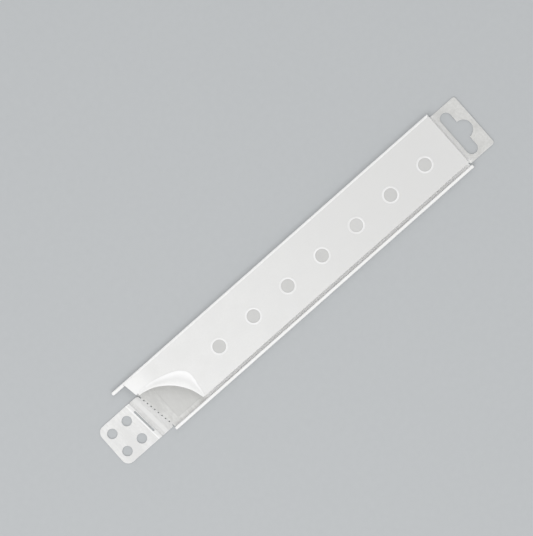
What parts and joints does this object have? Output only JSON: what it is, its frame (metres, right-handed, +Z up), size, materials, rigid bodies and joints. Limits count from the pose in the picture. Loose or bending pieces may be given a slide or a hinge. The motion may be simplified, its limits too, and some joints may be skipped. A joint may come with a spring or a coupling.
{
  "type": "knife blade guard",
  "caption": "Flat magnetic knife blade guard of frosted plastic: a hinged front leaf with a thumb notch under a raised lip, a slotted hang tab and a perforated tear-off tab.",
  "frame": {"origin": "middle of the footprint, on the table that the back panel lies on", "axes": "+X from the tear-off tab to the hang tab, +Y from the open side to the spine, +Z up, out of the front leaf"},
  "size_m": [0.3064, 0.0444, 0.0088],
  "materials": {
    "front_leaf": "frosted translucent polypropylene, satin",
    "rail": "polypropylene, satin, brighter where it is thick",
    "back_shell": "frosted translucent polypropylene, fine texture",
    "tear_tab": "frosted translucent polypropylene, fine texture",
    "felt": "short felt",
    "magnet": "nickel-plated disc"
  },
  "bodies": {
    "back": {"back_panel": "back_shell", "hang_tab": "back_shell", "spine_rail": "rail", "edge_rail": "rail", "back_liner": "felt", "back_magnet_1": "magnet", "back_magnet_2": "magnet", "back_magnet_3": "magnet", "back_magnet_4": "magnet", "back_magnet_5": "magnet", "back_magnet_6": "magnet", "back_magnet_7": "magnet"},
    "leaf": {"front_panel": "front_leaf", "thumb_lip": "front_leaf", "front_liner": "felt", "front_magnet_1": "magnet", "front_magnet_2": "magnet", "front_magnet_3": "magnet", "front_magnet_4": "magnet", "front_magnet_5": "magnet", "front_magnet_6": "magnet", "front_magnet_7": "magnet"},
    "tab_inner": {"tab_root": "tear_tab"},
    "tab_outer": {"tab_plate": "tear_tab"}
  },
  "joints": [
    {"name": "leaf_fold", "type": "hinge", "parent": "back", "child": "leaf", "pos_m": [0, 0.02095, 0.0048], "axis": [-1, 0, 0], "range_deg": [0, 165]},
    {"name": "perforation_fold", "type": "hinge", "parent": "back", "child": "tab_inner", "pos_m": [-0.1174, 0, 0.001], "axis": [-0.1616, 0.9869, 0], "range_deg": [0, 75]},
    {"name": "crease_fold", "type": "hinge", "parent": "tab_inner", "child": "tab_outer", "pos_m": [-0.1254, 0, 0.001], "axis": [-0.0802, 0.9968, 0], "range_deg": [0, 60]}
  ]
}
